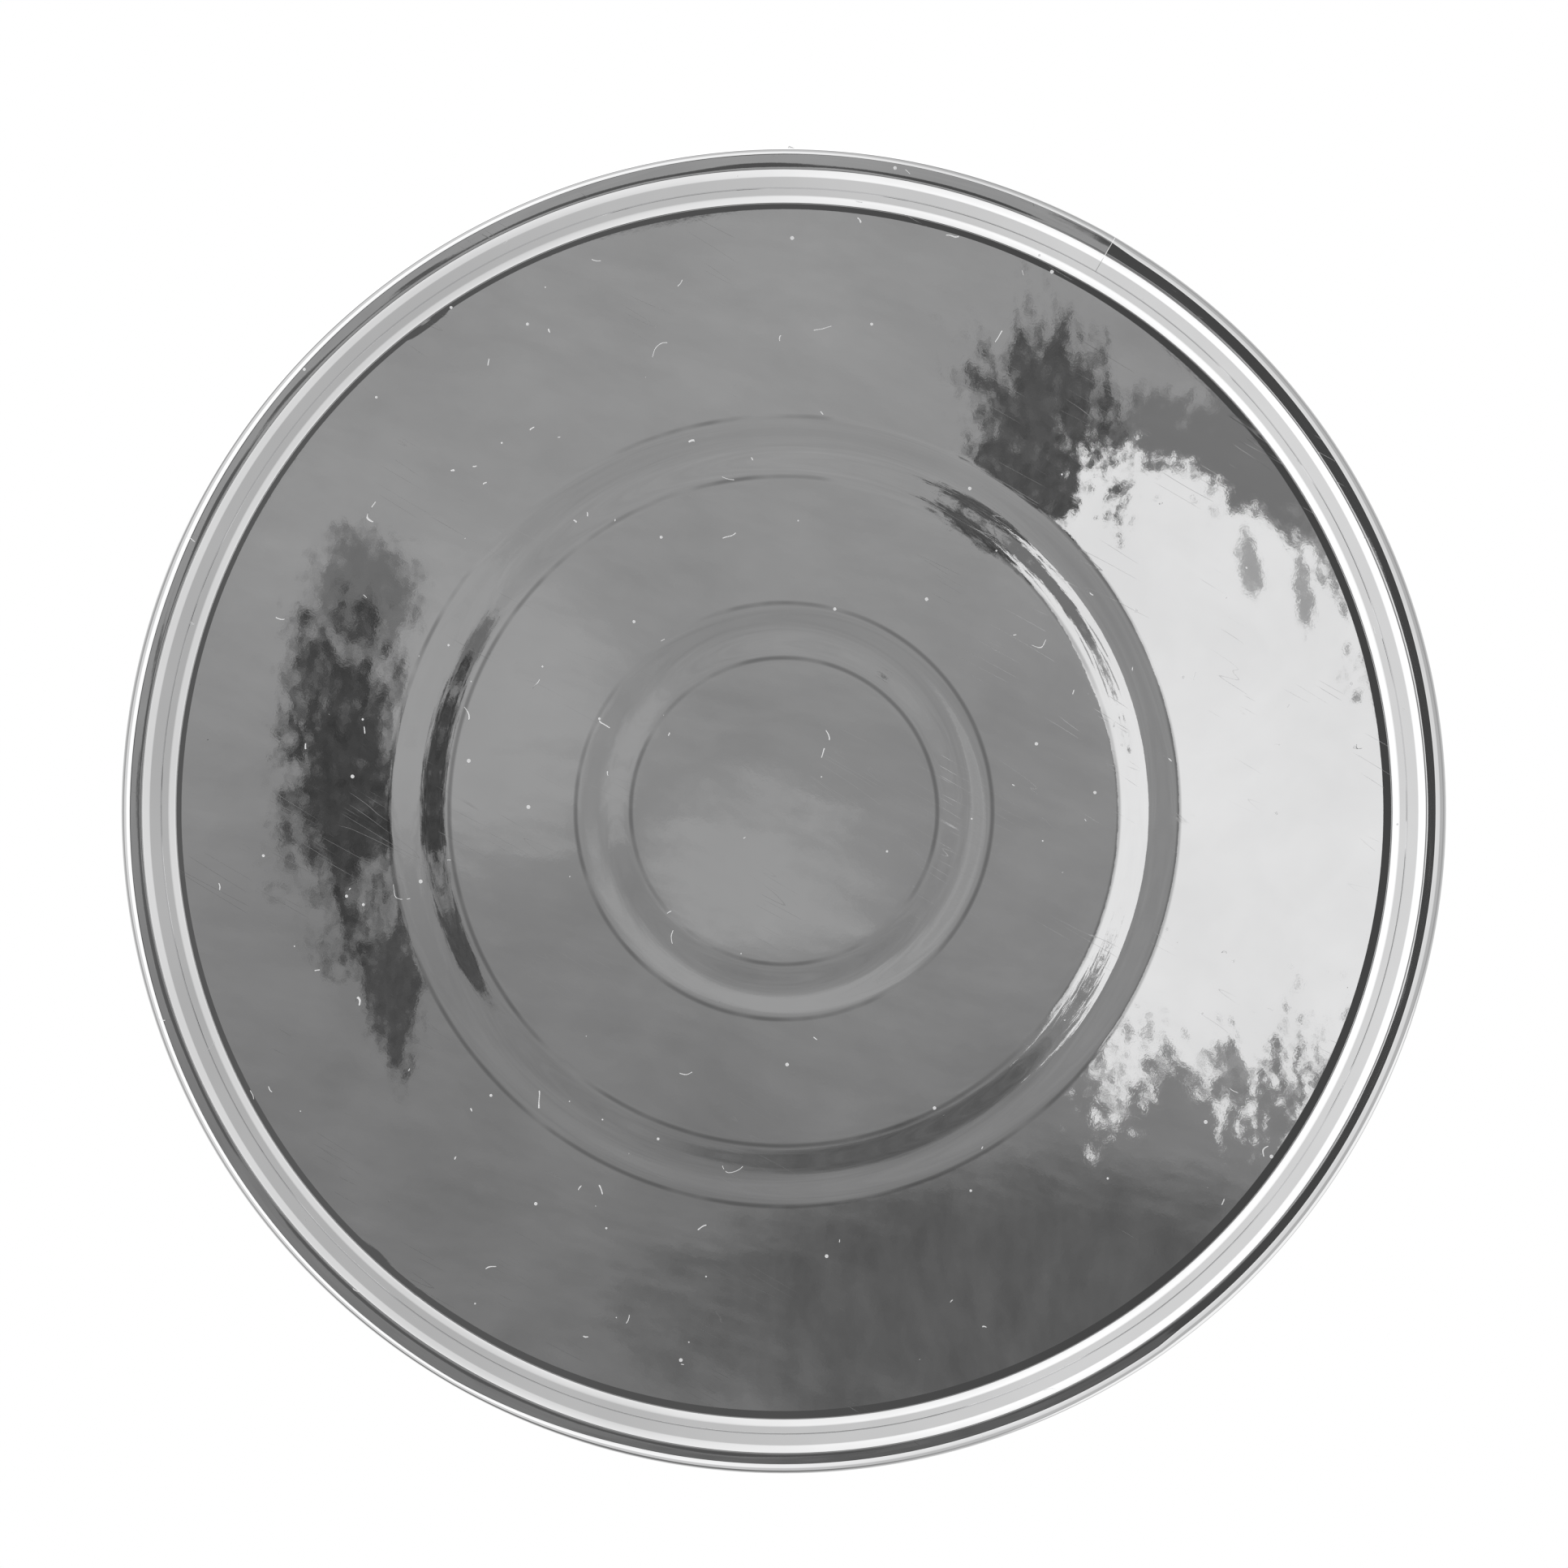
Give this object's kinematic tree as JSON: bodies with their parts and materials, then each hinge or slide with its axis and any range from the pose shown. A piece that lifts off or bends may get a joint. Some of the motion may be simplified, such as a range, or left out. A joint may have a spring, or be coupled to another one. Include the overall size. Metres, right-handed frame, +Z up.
{
  "type": "springform pan",
  "caption": "Round springform cake pan: a split, beaded tinplate band that a bail clasp closes round a loose base plate with pressed rings.",
  "frame": {"origin": "middle of the ring that the pan stands on", "axes": "+Z up through the open top; the clasp is at -Y"},
  "size_m": [0.273, 0.2764, 0.066],
  "materials": {
    "base_tinplate": "bright tinplate, fine orange peel and light scratches",
    "band_tinplate": "bright tinplate, roll-formed",
    "rim_wire": "drawn wire",
    "clasp_steel": "zinc-plated pressing, satin",
    "lever_steel": "zinc-plated pressing, satin",
    "bail_wire": "zinc-plated wire",
    "rivet_steel": "zinc-plated"
  },
  "bodies": {
    "band_fixed": {"band_left": "band_tinplate", "rim_wire_left": "rim_wire", "seam_tongue": "band_tinplate", "lever_bracket": "clasp_steel", "lever_pivot_pin": "rivet_steel", "bracket_rivet_1": "rivet_steel", "bracket_rivet_2": "rivet_steel", "bracket_rivet_3": "rivet_steel", "bracket_rivet_4": "rivet_steel"},
    "band_moving": {"band_right": "band_tinplate", "rim_wire_right": "rim_wire", "catch": "clasp_steel", "catch_rivet_1": "rivet_steel", "catch_rivet_2": "rivet_steel", "catch_rivet_3": "rivet_steel", "catch_rivet_4": "rivet_steel"},
    "lever": {"lever": "lever_steel"},
    "bail": {"bail": "bail_wire"},
    "base": {"base_plate": "base_tinplate"}
  },
  "joints": [
    {"name": "lever_swing", "type": "hinge", "parent": "band_fixed", "child": "lever", "pos_m": [-0.012, -0.13627, 0.04], "axis": [0, 0, 1], "range_deg": [0, 165]},
    {"name": "band_spread", "type": "hinge", "parent": "band_fixed", "child": "band_moving", "pos_m": [0, 0.134, 0.04], "axis": [0, 0, 1], "range_deg": [0, 1.6]},
    {"name": "bail_turn", "type": "hinge", "parent": "lever", "child": "bail", "pos_m": [-0.01616, -0.13569, 0.04], "axis": [0, 0, 1], "range_deg": [-163, 0]},
    {"name": "base_lift", "type": "slide", "parent": "band_fixed", "child": "base", "axis": [0, 0, 1], "range_m": [0, 0.09]}
  ],
  "couplings": [
    {"joint": "band_spread", "follows": "lever_swing", "ratio": 0.0095},
    {"joint": "bail_turn", "follows": "lever_swing", "ratio": -0.968}
  ]
}
